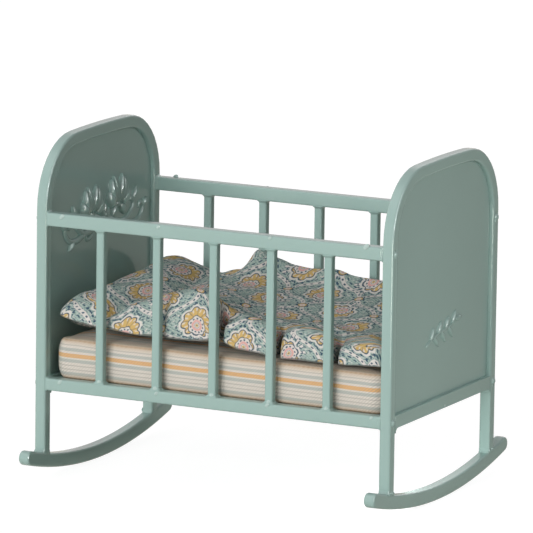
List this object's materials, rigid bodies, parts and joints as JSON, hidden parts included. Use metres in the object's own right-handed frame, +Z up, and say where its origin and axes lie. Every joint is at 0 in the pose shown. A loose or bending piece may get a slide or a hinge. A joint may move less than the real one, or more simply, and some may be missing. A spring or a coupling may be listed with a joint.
{
  "type": "doll cradle",
  "caption": "Rocking doll cradle of painted metal bar with arched panelled ends, slatted sides, curved rockers, a striped mattress and a rumpled quilt.",
  "frame": {"origin": "on the floor under the middle of the cradle, centre of the bottom of its bounding box", "axes": "+X along the cradle from the head end to the foot end, +Y from the front slatted side to the back one, +Z up"},
  "size_m": [0.1416, 0.112, 0.1228],
  "materials": {
    "paint": "pale blue-green enamel, semi-gloss",
    "striped_cloth": "woven cotton, matte, cream with grey-blue and ochre stripes",
    "quilt_cloth": "printed cotton, matte, small figures in ochre, pink, navy and cream on grey-green"
  },
  "bodies": {
    "cradle": {"head_frame": "paint", "head_panel": "paint", "head_crossbar": "paint", "head_rocker": "paint", "foot_frame": "paint", "foot_panel": "paint", "foot_crossbar": "paint", "foot_rocker": "paint", "front_top_rail": "paint", "front_bottom_rail": "paint", "front_slat_1": "paint", "front_slat_2": "paint", "front_slat_3": "paint", "front_slat_4": "paint", "front_slat_5": "paint", "back_top_rail": "paint", "back_bottom_rail": "paint", "back_slat_1": "paint", "back_slat_2": "paint", "back_slat_3": "paint", "back_slat_4": "paint", "back_slat_5": "paint", "base_sheet": "paint", "head_front_top_rivet": "paint", "head_front_bottom_rivet": "paint", "head_back_top_rivet": "paint", "head_back_bottom_rivet": "paint", "foot_front_top_rivet": "paint", "foot_front_bottom_rivet": "paint", "foot_back_top_rivet": "paint", "foot_back_bottom_rivet": "paint"},
    "mattress": {"mattress": "striped_cloth"},
    "quilt": {"quilt": "quilt_cloth"}
  },
  "joints": [
    {"name": "mattress_lift", "type": "slide", "parent": "cradle", "child": "mattress", "axis": [0, 0, 1], "range_m": [0, 0.07]},
    {"name": "quilt_lift", "type": "slide", "parent": "mattress", "child": "quilt", "axis": [0, 0, 1], "range_m": [0, 0.06]}
  ]
}
